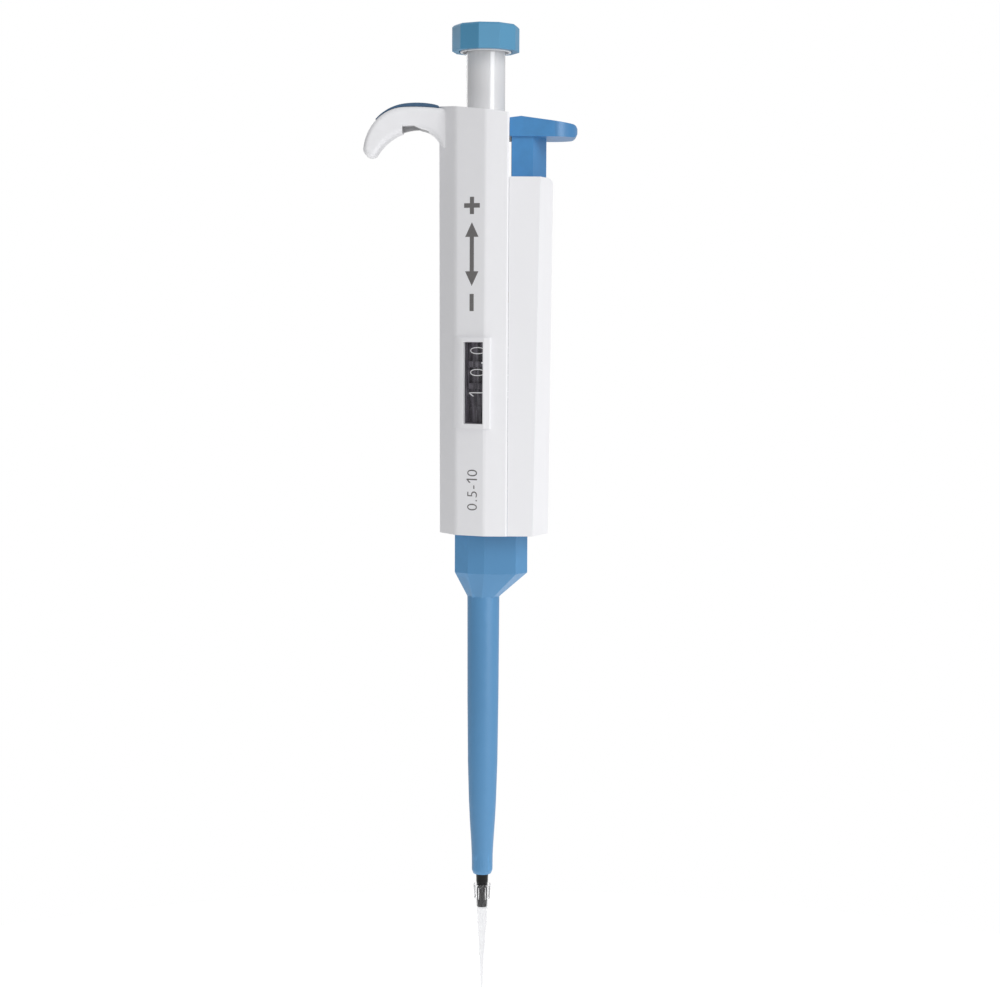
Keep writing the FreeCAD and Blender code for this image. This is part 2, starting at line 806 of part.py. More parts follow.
def pinion(name, place_number):
    """Carry pinion beside a geared drum, with a tooth in one of the drum's gaps."""
    body = new_body(name)
    x, y = pinion_place()
    half_tooth = 180 / DIMENSIONS["pinion_teeth"]
    turn = PINION_DIRECTION + 180 - 2 * half_tooth
    height = size.drum_height / 2 - size.gear_skin
    gear(body, size.pinion_teeth, 0, height - 0.15, size.pinion_shaft_radius + size.slide_gap)
    body.Placement.Rotation = FreeCAD.Rotation(Vector(0, 0, 1), turn)
    return place(body, x, y, gear_top(place_number) - height + 0.1)


def pinion_shaft():
    body = new_body("pinion_shaft")
    x, y = pinion_place()
    pad_between(body, size.frame_bottom + 1.05, size.frame_upper + 0.95,
                lambda sketch: circle(sketch, 0, 0, size.pinion_shaft_radius))
    return place(body, x, y)


def index_ring():
    """Plain ring below the drums, fixed to the frame's lower plate."""
    body = new_body("index_ring")
    low = size.frame_bottom + size.frame_plate
    high = drum_bottom(3) + size.drum_height
    bore = size.spindle_radius + 0.3
    turned(body, [(bore, low), (7.4, low), (7.4, drum_bottom(3)),
                  (size.drum_radius, drum_bottom(3)), (size.drum_radius, high),
                  (bore, high)])
    return body


def detent_ball():
    ball = document.addObject("Part::Sphere", "detent_ball")
    ball.Label = "detent_ball"
    bind(ball, "Radius", size.ball_radius)
    return place(ball, -size.ball_offset, 0, gear_top(0) + size.ball_radius + 0.05)


def detent_spring():
    low = gear_top(0) + 2 * size.ball_radius + 0.1
    return spring("detent_spring", -size.ball_offset, 0, low, size.frame_top - 0.85,
                  0.7, 0.15, 5)


# ---------------------------------------------------------------------------------------
# Plunger, barrel and nozzle
# ---------------------------------------------------------------------------------------

TIP_RIBS = 12


def plunger_rod():
    """Rod from the stem's web to the piston's holder, with a thinner neck on top."""
    body = new_body("plunger_rod")
    shoulder = size.hexagon_top - 0.05
    turned(body, [(0, size.piston_head_top), (size.rod_radius, size.piston_head_top),
                  (size.rod_radius, shoulder), (size.neck_radius, shoulder),
                  (size.neck_radius, size.hexagon_top + 4), (0, size.hexagon_top + 4)])
    return body


def rod_clip():
    """Open clip on the rod's neck, above the stem's web."""
    body = new_body("rod_clip")
    low = size.hexagon_top + 3.05
    turned(body, [(size.neck_radius, low), (2.3, low), (2.3, low + 0.7),
                  (size.neck_radius, low + 0.7)])
    slot = [(0.6, -0.9), (3.0, -0.9), (3.0, 0.9), (0.6, 0.9)]
    cut_between(body, low - 1, low + 2, lambda sketch: outline(sketch, slot))
    return body


def blowout_cup():
    """Second stop: a flange that the collar meets, on a tube around the return spring."""
    body = new_body("blowout_cup")
    under = size.cup_top - size.cup_flange_height
    low = size.spring_floor + size.blowout_travel + 0.15
    turned(body, [(size.cup_bore, low), (size.cup_radius, low), (size.cup_radius, under),
                  (size.cup_flange_radius, under), (size.cup_flange_radius, size.cup_top),
                  (size.cup_bore, size.cup_top)])
    return body


def lower_barrel():
    """Barrel for both springs, with a threaded floor that the nozzle's nut grips."""
    body = new_body("lower_barrel")
    bore = size.rod_radius + 0.1
    thread = size.barrel_radius - 0.65
    turned(body, [(bore, size.barrel_floor), (thread, size.barrel_floor),
                  (thread, size.thread_end), (size.barrel_radius, size.thread_end),
                  (size.barrel_radius, size.barrel_top), (size.barrel_bore, size.barrel_top),
                  (size.barrel_bore, size.spring_floor - 0.1),
                  (bore, size.spring_floor - 0.1)])
    return body


def nozzle_nut():
    """Nut that pulls the nozzle's flange against the barrel's floor."""
    body = new_body("nozzle_nut")
    low = size.nozzle_flange_bottom - 1.1
    bore = size.nozzle_tube_radius + 0.1
    wall = size.barrel_radius - 0.6
    turned(body, [(bore, low), (wall, low), (size.barrel_radius, low + 0.6),
                  (size.barrel_radius, size.thread_end - 0.1),
                  (wall, size.thread_end - 0.1), (wall, size.nozzle_flange_bottom - 0.1),
                  (bore, size.nozzle_flange_bottom - 0.1)])
    return body


def barrel_nut():
    """Nut that hangs the barrel from the counter frame."""
    body = new_body("barrel_nut")
    low = size.barrel_top - 7
    pad_between(body, low, size.barrel_top + 0.15,
                lambda sketch: outline(sketch, polygon(8, size.barrel_radius + 2.1, 22.5)))
    cut_between(body, low - 1, size.barrel_top + 1,
                lambda sketch: circle(sketch, 0, 0, size.barrel_radius))
    return body


def nozzle():
    """Tip cone: tapered outside, bored for the piston, wider above for its seal."""
    body = new_body("nozzle")
    bore = size.piston_radius + size.slide_gap
    tube = size.nozzle_tube_radius
    turned(body, [
        (bore, size.nozzle_end), (size.nozzle_end_radius, size.nozzle_end),
        (1.577, 31.2), (1.68, 31.5), (1.78, size.sleeve_end), (1.9, 41.0), (2.2, 50.0),
        (2.6, size.seal_seat), (2.9, 67.0), (tube, 85.0), (tube, size.nozzle_flange_bottom),
        (size.nozzle_flange_radius, size.nozzle_flange_bottom),
        (size.nozzle_flange_radius, size.nozzle_flange_top),
        (size.seal_bore, size.nozzle_flange_top), (size.seal_bore, size.seal_seat),
        (bore, size.seal_seat),
    ])
    return body


def seal_ring():
    torus = document.addObject("Part::Torus", "seal_ring")
    torus.Label = "seal_ring"
    bind(torus, "Radius1", size.seal_bore - 0.45)
    torus.Radius2 = 0.4
    return place(torus, z=size.seal_seat + 2.45)


def piston_head():
    """Holder pressed on the piston's top, as thick as the rod above it."""
    body = new_body("piston_head")
    turned(body, [(0, size.piston_top), (size.piston_radius, size.piston_top),
                  (size.piston_radius, size.piston_head_bottom),
                  (size.rod_radius, size.piston_head_bottom),
                  (size.rod_radius, size.piston_head_top), (0, size.piston_head_top)])
    return body


def piston():
    rod = document.addObject("Part::Cylinder", "piston")
    rod.Label = "piston"
    bind(rod, "Radius", size.piston_radius)
    bind(rod, "Height", size.piston_top - size.piston_bottom)
    return place(rod, z=size.piston_bottom)


def tip():
    """Disposable tip: a thin cone with a ribbed collar, open at both ends."""
    body = new_body("tip")
    rim, collar, height = size.tip_rim_radius, size.tip_collar_radius, size.tip_height
    turned(body, [
        (size.tip_orifice_radius, 0), (0.35, 0), (0.625, 7.7), (1.03, 13.6),
        (1.475, 19.6), (1.66, 24.0), (1.9, 26.0), (collar, size.tip_collar_bottom),
        (collar, height - 0.7),
        (rim, height - 0.6), (rim, height), (1.85, height), (1.625, height - 0.6),
        (1.44, size.nozzle_end), (1.28, 19.6), (0.85, 13.6), (0.45, 7.7),
    ])
    sketch = sketch_on(body, "XY_Plane", offset=size.tip_collar_bottom)
    outline(sketch, [(collar - 0.2, -0.2), (rim - 0.05, -0.2), (rim - 0.05, 0.2),
                     (collar - 0.2, 0.2)])
    rib = add(body, "Pad", sketch, Length=height - size.tip_collar_bottom - 0.4)
    pattern = body.newObject("PartDesign::PolarPattern", "tip_ribs")
    pattern.Originals = [rib]
    pattern.Axis = (sketch, ["N_Axis"])
    pattern.Angle = 360.0
    pattern.Occurrences = TIP_RIBS
    body.Tip = pattern
    return body


# ---------------------------------------------------------------------------------------
# Ejector
# ---------------------------------------------------------------------------------------


def ejector_stem_half(gap=0):
    """Half of the stem's section, or of the hole around it."""
    return [(7.3 - gap, 8.4 + gap), (13.2 + 0.6 * gap, 8.4 + gap), (17.0 + gap, 2.4)]


def ejector_button():
    """Thumb rest with a sloping top, on a hollow stem that slides in the column."""
    body = new_body("ejector_button")
    left, right, depth = size.ejector_left, size.ejector_right, size.ejector_half_depth
    low = size.ejector_lower_face
    corner = depth - 2.0
    plan = [(left, -depth), (right - corner, -depth, corner), (right, corner - depth),
            (right, depth - corner, corner), (right - corner, depth), (left, depth)]
    pad_between(body, low, 250.0, lambda sketch: outline(sketch, plan))

    # Sloping top and rounded end, seen from the side
    over = [(left - 1, 248.5), (left, 248.6), (9.9, 249.0), (24.2, 247.1, Dim(-1.6)),
            (right, 245.6), (right + 1, 245.6), (right + 1, 251.0), (left - 1, 251.0)]
    under = [(24.2, low - 1), (right + 1, low - 1), (right + 1, 244.9),
             (right, 244.9, Dim(-1.6)), (24.2, low)]
    for cut in (over, under):
        sketch = outline(sketch_on(body, "XZ_Plane"), cut)
        add(body, "Pocket", sketch, Length=30.0, Midplane=True)

    pad_between(body, size.ejector_stem_bottom, low + 1,
                lambda sketch: outline(sketch, mirrored(ejector_stem_half())))
    cut_between(body, size.ejector_stem_bottom + 6, low - 2,
                lambda sketch: outline(sketch, mirrored([(9.4, 6.6), (13.0, 6.6),
                                                         (15.4, 2.0)])))
    cut_between(body, size.ejector_stem_bottom - 1, size.rod_top,
                lambda sketch: circle(sketch, size.rod_x, 0, size.rod_radius))
    return body


def ejector_rod():
    body = new_body("ejector_rod")
    pad_between(body, size.rod_bottom, size.rod_top,
                lambda sketch: circle(sketch, 0, 0, size.rod_radius))
    return place(body, size.rod_x)


def rod_nut():
    body = new_body("rod_nut")
    low = size.lug_top
    pad_between(body, low, low + 2.4, lambda sketch: outline(sketch, hexagon(Dim(5.0))))
    cut_between(body, low - 1, low + 3,
                lambda sketch: circle(sketch, 0, 0, size.rod_radius))
    return place(body, size.rod_x)


def block_half(inset=0):
    """Half of the sleeve block's section."""
    depth = size.block_half_depth - inset
    return [(-8.1 + inset, 3.4 - 0.4 * inset), (-4.4 + 0.6 * inset, depth - 1.2),
            (0.2, depth), (9.1 - 0.4 * inset, depth), (12.4 - inset, 3.6 - 0.4 * inset)]


def round_half(radius):
    """Half of a section like the block's, but round, to meet the tube."""
    angles = [math.radians(angle) for angle in (165, 130, 95, 55, 20)]
    return [(radius * math.cos(angle), radius * math.sin(angle)) for angle in angles]


def ejector_sleeve():
    """Blue sleeve: faceted block in the handle's mouth, taper, and a long tube."""
    body = new_body("ejector_sleeve")
    wall = size.sleeve_wall
    block_wall = size.block_wall
    shoulder, top_radius = size.sleeve_shoulder, size.sleeve_top_radius
    tube = [
        (1.95, size.sleeve_end), (2.62, size.sleeve_end), (2.98, size.sleeve_end + 1.0),
        (3.02, 39.5), (3.16, 42.5), (3.43, 46.8), (3.66, 50.5), (3.9, 55.5), (4.24, 67.0),
        (4.44, 85.0), (top_radius, shoulder), (top_radius, shoulder + 0.6),
    ]
    inner = [(top_radius - wall, shoulder + 0.6), (4.44 - wall, 85.0), (4.24 - wall, 67.0),
             (3.9 - wall, 55.5), (3.43 - wall, 46.8), (3.02 - wall, 39.5), (2.2, 36.4),
             (1.95, 35.2)]
    turned(body, tube + inner)
    loft(body, shoulder, round_half(4.6), size.block_bottom, block_half())
    pad_between(body, size.block_bottom, size.block_top,
                lambda sketch: outline(sketch, mirrored(block_half())))

    # Lug that the ejector rod is fastened to
    lug = mirrored([(9.0, 3.3), (15.6, 3.3)])
    pad_between(body, size.block_top, size.lug_top, lambda sketch: outline(sketch, lug))

    loft(body, shoulder + 0.1, round_half(4.6 - wall), size.block_bottom,
         block_half(block_wall), "SubtractiveLoft")
    cut_between(body, size.block_bottom - 0.1, size.block_top + 0.5,
                lambda sketch: outline(sketch, mirrored([
                    (-8.1 + block_wall, 2.9), (-4.5, 5.3), (0.2, 6.9), (6.5, 6.9),
                    (8.4, 4.5)])))
    cut_between(body, shoulder - 1, shoulder + 1,
                lambda sketch: circle(sketch, 0, 0, top_radius - wall))
    cut_between(body, size.rod_bottom, size.lug_top + 1,
                lambda sketch: circle(sketch, size.rod_x, 0, size.rod_radius))
    return body


# ---------------------------------------------------------------------------------------
# Assembly
# ---------------------------------------------------------------------------------------


def build():
    rod_bore = size.rod_radius
    seal_bore = size.piston_radius + 0.03
    return [
        handle_shell(), ejector_cover(), hook_pad(), window_bezel(), window_lens(),
        window_mask(), stem_bushing(),
        push_button(), button_ring(), plunger_stem(),
        volume_screw(), threaded_bush(), counter_frame(),
        drum("drum_tenths", 0, size.spindle_radius, geared=False),
        drum("drum_units", 1, size.spindle_radius + size.slide_gap, geared=True),
        drum("drum_tens", 2, size.spindle_radius + size.slide_gap, geared=True),
        index_ring(), pinion_shaft(), pinion("pinion_units", 1), pinion("pinion_tens", 2),
        detent_ball(), detent_spring(),
        plunger_rod(), rod_clip(),
        ring("plunger_collar", rod_bore, size.collar_radius, size.collar_bottom,
             size.collar_bottom + size.collar_height),
        spring("return_spring", 0, 0, size.spring_floor + 0.05, size.collar_bottom - 0.05,
               2.75, 0.35, 9),
        spring("blowout_spring", 0, 0, size.spring_floor + 0.05,
               size.cup_top - size.cup_flange_height - 0.05, 4.65, 0.4, 6),
        blowout_cup(),
        ring("stop_ring", size.collar_radius + 0.1, size.barrel_bore, size.cup_top + 0.05,
             size.cup_top + 0.85),
        lower_barrel(), barrel_nut(), nozzle_nut(), nozzle(),
        ring("piston_seal", seal_bore, size.seal_bore, size.seal_seat,
             size.seal_seat + 2),
        seal_ring(),
        ring("seal_retainer", size.piston_radius + 0.2, size.seal_bore,
             size.seal_seat + 2.9, size.seal_seat + 6),
        piston_head(), piston(), tip(),
        ejector_button(), ejector_rod(), rod_nut(), ejector_sleeve(),
        spring("ejector_spring", size.rod_x, 0,
               size.spring_shelf + size.shelf_thickness + 0.05,
               size.ejector_stem_bottom - 0.05, 2.35, 0.3, 8),
    ]


def check(parts):
    """Stop if anything in the document failed, or a sub-part has no sound solid."""
    failed = [thing.Name for thing in document.Objects
              if "Invalid" in thing.State or "Error" in thing.State]
    for part in parts:
        if part.Shape.isNull() or not part.Shape.isValid() or len(part.Shape.Solids) != 1:
            failed.append(part.Label)
    if failed:
        raise RuntimeError("failed: " + ", ".join(failed))


parts = build()
document.recompute()
check(parts)
os.makedirs("parts", exist_ok=True)
for part in parts:
    part.Shape.exportStep(os.path.join("parts", f"{part.Label}.step"))
print(len(parts), "parts written")
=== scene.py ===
import bmesh
import bpy
import math
from mathutils import Matrix, Vector
from mathutils.bvhtree import BVHTree

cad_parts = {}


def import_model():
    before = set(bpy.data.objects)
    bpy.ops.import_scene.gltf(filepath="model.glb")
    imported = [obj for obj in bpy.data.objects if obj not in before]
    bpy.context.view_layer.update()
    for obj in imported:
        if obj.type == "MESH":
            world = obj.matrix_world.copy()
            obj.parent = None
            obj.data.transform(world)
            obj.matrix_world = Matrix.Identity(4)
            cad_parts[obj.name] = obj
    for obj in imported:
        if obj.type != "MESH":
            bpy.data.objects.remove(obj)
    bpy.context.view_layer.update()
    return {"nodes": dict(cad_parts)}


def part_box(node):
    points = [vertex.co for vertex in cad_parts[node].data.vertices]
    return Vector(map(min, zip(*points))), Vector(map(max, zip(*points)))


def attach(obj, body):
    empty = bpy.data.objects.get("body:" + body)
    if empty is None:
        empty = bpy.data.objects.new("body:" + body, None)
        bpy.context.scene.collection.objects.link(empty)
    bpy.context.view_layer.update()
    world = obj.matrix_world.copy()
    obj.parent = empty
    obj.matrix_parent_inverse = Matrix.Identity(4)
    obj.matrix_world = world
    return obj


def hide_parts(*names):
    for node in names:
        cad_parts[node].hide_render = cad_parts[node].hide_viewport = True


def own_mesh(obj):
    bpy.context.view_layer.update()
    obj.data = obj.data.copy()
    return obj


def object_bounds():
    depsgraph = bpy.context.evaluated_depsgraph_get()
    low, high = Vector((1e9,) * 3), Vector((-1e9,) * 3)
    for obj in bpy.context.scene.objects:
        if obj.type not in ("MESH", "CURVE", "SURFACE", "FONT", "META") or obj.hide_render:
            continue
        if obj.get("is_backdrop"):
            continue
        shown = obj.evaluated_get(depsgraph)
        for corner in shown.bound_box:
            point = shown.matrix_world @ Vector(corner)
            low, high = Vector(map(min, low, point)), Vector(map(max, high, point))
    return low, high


# Single-channel pipette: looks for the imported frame. Metres. Z is the plunger axis, -Y faces
# the camera, +X is the ejector's side and -X the finger hook's.

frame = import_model()
MM = 0.001

# ---------------------------------------------------------------------------------------
# Materials
# ---------------------------------------------------------------------------------------


def linear(red, green, blue):
    """A colour given as it looks on screen, in linear values with alpha 1."""
    return tuple((c / 255) ** 2.2 for c in (red, green, blue)) + (1.0,)


def new_material(name, **shader_values):
    material = bpy.data.materials.new(name)
    material.use_nodes = True
    shader = material.node_tree.nodes["Principled BSDF"]
    for socket, value in shader_values.items():
        shader.inputs[socket.replace("_", " ")].default_value = value
    return material, shader


def node(material, kind, **inputs):
    """A new node of a material or a world, with some of its inputs set."""
    made = material.node_tree.nodes.new(kind)
    for socket, value in inputs.items():
        made.inputs[socket.replace("_", " ")].default_value = value
    return made


def link(material, source, target):
    material.node_tree.links.new(source, target)


def place_in(material, stretch=(1, 1, 1)):
    """Object coordinates in millimetres, stretched along the axes."""
    coordinates = node(material, "ShaderNodeTexCoord")
    mapping = node(material, "ShaderNodeMapping")
    mapping.inputs["Scale"].default_value = [s / MM for s in stretch]
    link(material, coordinates.outputs["Object"], mapping.inputs["Vector"])
    return mapping.outputs["Vector"]


def noise(material, vector, scale, detail=3.0, roughness=0.55):
    made = node(material, "ShaderNodeTexNoise", Scale=scale, Detail=detail,
                Roughness=roughness)
    link(material, vector, made.inputs["Vector"])
    return made.outputs["Fac"]


def ramp(material, factor, stops):
    """stops: (position, colour) pairs."""
    made = node(material, "ShaderNodeValToRGB")
    elements = made.color_ramp.elements
    while len(elements) < len(stops):
        elements.new(0.5)
    for element, (position, colour) in zip(elements, stops):
        element.position = position
        element.color = colour
    link(material, factor, made.inputs["Fac"])
    return made.outputs["Color"]


def between(material, factor, low, high):
    made = node(material, "ShaderNodeMapRange", To_Min=low, To_Max=high)
    link(material, factor, made.inputs["Value"])
    return made.outputs["Result"]


def mixed(material, factor, first, second):
    """Mix of two colours; each is a socket or a colour."""
    made = node(material, "ShaderNodeMix")
    made.data_type = "RGBA"
    for socket, colour in ((made.inputs[6], first), (made.inputs[7], second)):
        if isinstance(colour, tuple):
            socket.default_value = colour
        else:
            link(material, colour, socket)
    if isinstance(factor, float):
        made.inputs[0].default_value = factor
    else:
        link(material, factor, made.inputs[0])
    return made.outputs[2]


def calculated(material, operation, *operands):
    """A Math node's result; each operand is a socket or a number."""
    made = node(material, "ShaderNodeMath")
    made.operation = operation
    for socket, operand in zip(made.inputs, operands):
        if isinstance(operand, float):
            socket.default_value = operand
        else:
            link(material, operand, socket)
    return made.outputs["Value"]


def shade(colour, factor):
    return tuple(min(1.0, c * factor) for c in colour[:3]) + (1.0,)


def bump(material, shader, height, strength, distance):
    made = node(material, "ShaderNodeBump", Strength=strength, Distance=distance)
    link(material, height, made.inputs["Height"])
    link(material, made.outputs["Normal"], shader.inputs["Normal"])


def moulded(name, colour, roughness, grain=0.4, wear=1.12, mottle=0.05, **shader_values):
    """Injection-moulded plastic: spark-eroded grain, faint flow mottle, paler rubbed edges."""
    material, shader = new_material(name, **shader_values)
    where = place_in(material)
    flow = noise(material, place_in(material, (1, 1, 0.25)), 0.06, 2.0)
    base = ramp(material, flow, [(0.3, shade(colour, 1 - mottle)),
                                 (0.7, shade(colour, 1 + mottle))])
    geometry = node(material, "ShaderNodeNewGeometry")
    edge = node(material, "ShaderNodeMapRange", From_Min=0.53, From_Max=0.60)
    link(material, geometry.outputs["Pointiness"], edge.inputs["Value"])
    rubbed = calculated(material, "MULTIPLY", edge.outputs["Result"],
                        noise(material, where, 0.35, 4.0))
    link(material, mixed(material, rubbed, base, shade(colour, wear)),
         shader.inputs["Base Color"])
    link(material, between(material, noise(material, where, 0.5), roughness - 0.04,
                           roughness + 0.05), shader.inputs["Roughness"])
    bump(material, shader, noise(material, where, 4.5, 3.0), grain, 0.03 * MM)
    return material


def darken_recess(material, low, high, colour):
    """Patchy painted shade of a colour inside a box, given by its low and high corners."""
    shader = material.node_tree.nodes["Principled BSDF"]
    unshaded = shader.inputs["Base Color"].links[0].from_socket
    parts = node(material, "ShaderNodeSeparateXYZ")
    link(material, node(material, "ShaderNodeTexCoord").outputs["Object"],
         parts.inputs["Vector"])
    cover = between(material, noise(material, place_in(material), 0.3), 0.5, 1.0)
    for axis, least, most in zip("XYZ", low, high):
        within = calculated(material, "COMPARE", parts.outputs[axis],
                            (least + most) / 2, (most - least) / 2)
        cover = calculated(material, "MULTIPLY", cover, within)
    link(material, mixed(material, cover, unshaded, colour), shader.inputs["Base Color"])
    return material


def turned_metal(name, colour, roughness):
    """Metal with turning marks round the Z axis."""
    material, shader = new_material(name, Metallic=1.0)
    marks = noise(material, place_in(material, (0.15, 0.15, 9.0)), 1.2, 4.0, 0.7)
    link(material, ramp(material, marks, [(0.3, shade(colour, 0.82)),
                                          (0.7, shade(colour, 1.1))]),
         shader.inputs["Base Color"])
    link(material, between(material, marks, roughness, roughness + 0.18),
         shader.inputs["Roughness"])
    bump(material, shader, marks, 0.25, 0.01 * MM)
    return material


def rubber(name, colour):
    """Soft overmoulding with a fine stipple and dusty sheen."""
    material, shader = new_material(name, Sheen_Weight=0.15, Sheen_Roughness=0.5,
                                    Specular_IOR_Level=0.35)
    where = place_in(material)
    cells = node(material, "ShaderNodeTexVoronoi", Scale=3.2)
    link(material, where, cells.inputs["Vector"])
    link(material, ramp(material, noise(material, where, 0.4), [
        (0.35, shade(colour, 0.9)), (0.7, shade(colour, 1.12))]),
        shader.inputs["Base Color"])
    link(material, between(material, noise(material, where, 0.9), 0.55, 0.72),
         shader.inputs["Roughness"])
    bump(material, shader, cells.outputs["Distance"], 0.35, 0.05 * MM)
    return material


def drum_plastic():
    """Dark counter drum with fine upright scratches, and pale upright streaks painted into its
    colour as a sheen.
    """
    material, shader = new_material("drum_dark", Specular_IOR_Level=0.6)
    lines = noise(material, place_in(material, (1.0, 1.0, 0.03)), 5.0, 5.0, 0.75)
    # Painted sheen: broad pale upright streaks in the colour that stand in for highlights on
    # the drum
    sheen_streaks = noise(material, place_in(material, (0.6, 0.6, 0.06)), 2.2, 3.0, 0.6)
    tone = mixed(material, 0.5, ramp(material, lines, [
        (0.35, linear(26, 25, 29)), (0.7, linear(112, 108, 118))]),
        ramp(material, sheen_streaks, [(0.4, linear(34, 32, 38)), (0.7, linear(158, 152, 164))]))
    link(material, tone, shader.inputs["Base Color"])
    link(material, between(material, lines, 0.35, 0.55), shader.inputs["Roughness"])
    bump(material, shader, lines, 0.5, 0.03 * MM)
    return material


def clear_plastic(name, tint, roughness, haze):
    """Thin clear moulding: mostly transmitted light, a trace of milky scatter."""
    material, shader = new_material(name, Transmission_Weight=1.0 - haze, IOR=1.18,
                                    Specular_IOR_Level=0.5, Coat_Weight=0.2)
    where = place_in(material, (1, 1, 0.15))
    link(material, ramp(material, noise(material, where, 0.8), [
        (0.3, shade(tint, 0.97)), (0.7, tint)]), shader.inputs["Base Color"])
    link(material, between(material, noise(material, where, 1.5), roughness,
                           roughness + 0.05), shader.inputs["Roughness"])
    bump(material, shader, noise(material, where, 0.6), 0.08, 0.02 * MM)
    return material


def window_plastic():
    """Polished clear plate, almost invisible but for a faint smear of wiping marks."""
    material, shader = new_material("clear_acrylic", Base_Color=linear(120, 120, 124),
                                    Specular_IOR_Level=0.6)
    smears = noise(material, place_in(material, (0.4, 0.4, 0.1)), 1.2, 4.0)
    link(material, between(material, smears, 0.01, 0.04), shader.inputs["Alpha"])
    link(material, between(material, smears, 0.04, 0.12), shader.inputs["Roughness"])
    return material


def ink(name, colour, painted_glow=0.0):
    """Pad-printed ink: dull, slightly uneven cover, with an optional painted glow that makes
    it look better lit.
    """
    material, shader = new_material(name, Specular_IOR_Level=0.3, Emission_Color=colour,
                                    Emission_Strength=painted_glow)
    where = place_in(material)
    link(material, ramp(material, noise(material, where, 1.8, 5.0, 0.7), [
        (0.3, shade(colour, 0.92)), (0.75, shade(colour, 1.12))]),
        shader.inputs["Base Color"])
    link(material, between(material, noise(material, where, 3.0), 0.5, 0.7),
         shader.inputs["Roughness"])
    return material


WHITE = linear(239, 239, 242)
# Painted shade: the grey that darkens the handle's white in the notch under the finger hook
RECESS_SHADE_COLOUR = linear(120, 120, 122)
RECESS_LOW = (-23.1 * MM, -3.6 * MM, 241.8 * MM)    # the notch under the finger hook
RECESS_HIGH = (-15.7 * MM, 3.6 * MM, 246.9 * MM)
materials = {
    "white": moulded("white_abs", WHITE, 0.42, wear=1.03, mottle=0.012),
    "handle": darken_recess(moulded("white_handle", WHITE, 0.42, wear=1.03, mottle=0.012),
                            RECESS_LOW, RECESS_HIGH, RECESS_SHADE_COLOUR),
    "bezel": moulded("white_bezel", linear(241, 241, 244), 0.4, wear=1.03, mottle=0.01),
    "ring": moulded("white_ring", linear(242, 243, 245), 0.3, wear=1.02, mottle=0.01),
    "button": moulded("teal_blue_abs", linear(77, 143, 182), 0.42, wear=1.4),
    "ejector": moulded("blue_abs", linear(64, 125, 178), 0.3, wear=1.3),
    "sleeve": moulded("blue_sleeve", linear(84, 140, 187), 0.36, wear=1.25),
    "stem": moulded("grey_acetal", linear(220, 220, 222), 0.2, grain=0.1, wear=1.04,
                    mottle=0.03, Coat_Weight=1.0, Coat_Roughness=0.1),
    "nozzle": moulded("black_pvdf", linear(12, 12, 14), 0.25, wear=1.5,
                      Specular_IOR_Level=0.25),
    "frame": moulded("grey_nylon", linear(120, 122, 126), 0.55, wear=1.1),
    "natural": moulded("natural_acetal", linear(226, 224, 214), 0.45, wear=1.03),
    "pad": rubber("blue_pad", linear(62, 92, 122)),
    "seal": rubber("black_seal", linear(34, 34, 36)),
    "drum": drum_plastic(),
    "steel": turned_metal("steel", (0.56, 0.56, 0.57, 1), 0.25),
    "polished": turned_metal("polished_steel", (0.66, 0.66, 0.67, 1), 0.12),
    "brass": turned_metal("brass", (0.60, 0.44, 0.19, 1), 0.25),
    "aluminium": turned_metal("aluminium", (0.68, 0.69, 0.70, 1), 0.3),
    "tip": clear_plastic("clear_polypropylene", (0.865, 0.867, 0.875, 1.0), 0.05, 0.02),
    "window": window_plastic(),
    "grey_ink": ink("grey_ink", linear(112, 110, 110)),
    # Painted light: the white figures and the decimal point glow, as bright as if more light
    # reached them inside the window
    "glowing_white_ink": ink("glowing_white_ink", linear(246, 246, 248), painted_glow=0.25),
}

NODE_MATERIALS = {
    "white": ["ejector_cover"],
    "handle": ["handle_shell"],
    "bezel": ["window_bezel"],
    "ring": ["button_ring"],
    "button": ["push_button"],
    "ejector": ["ejector_button"],
    "sleeve": ["ejector_sleeve"],
    "stem": ["plunger_stem"],
    "nozzle": ["nozzle"],
    "frame": ["counter_frame", "blowout_cup"],
    "natural": ["stem_bushing", "pinion_units", "pinion_tens", "piston_seal",
                "seal_retainer"],
    "pad": ["hook_pad"],
    "seal": ["seal_ring"],
    "drum": ["drum_tenths", "drum_units", "drum_tens", "index_ring", "window_mask"],
    "steel": ["pinion_shaft", "detent_ball", "detent_spring", "stop_ring",
              "blowout_spring", "plunger_rod", "rod_clip", "piston_head",
              "return_spring", "ejector_rod", "rod_nut", "ejector_spring"],
    "polished": ["piston"],
    "brass": ["threaded_bush", "plunger_collar", "volume_screw"],
    "aluminium": ["lower_barrel", "barrel_nut", "nozzle_nut"],
    "tip": ["tip"],
    "window": ["window_lens"],
}


def dress_nodes():
    for key, names in NODE_MATERIALS.items():
        for name in names:
            mesh = frame["nodes"][name].data
            mesh.materials.clear()
            mesh.materials.append(materials[key])


# Edge rounding of the moulded nodes, in millimetres
EDGE_ROUNDING = {
    "handle_shell": 0.4, "ejector_cover": 0.18, "window_bezel": 0.22, "push_button": 0.2,
    "ejector_button": 0.25, "ejector_sleeve": 0.4, "plunger_stem": 0.15, "nozzle": 0.08,
    "button_ring": 0.15, "hook_pad": 0.25,
}


def soften_edges():
    for name, radius in EDGE_ROUNDING.items():
        thing = frame["nodes"][name]
        weld = thing.modifiers.new("weld", "WELD")
        weld.merge_threshold = 0.002 * MM
        rounding = thing.modifiers.new("rounding", "BEVEL")
        rounding.limit_method = "ANGLE"
        rounding.angle_limit = math.radians(14)
        rounding.width = radius * MM
        rounding.segments = 3
        rounding.use_clamp_overlap = True
        normals = thing.modifiers.new("normals", "WEIGHTED_NORMAL")
        normals.keep_sharp = True


# ---------------------------------------------------------------------------------------
# Numbers and printed marks
# ---------------------------------------------------------------------------------------


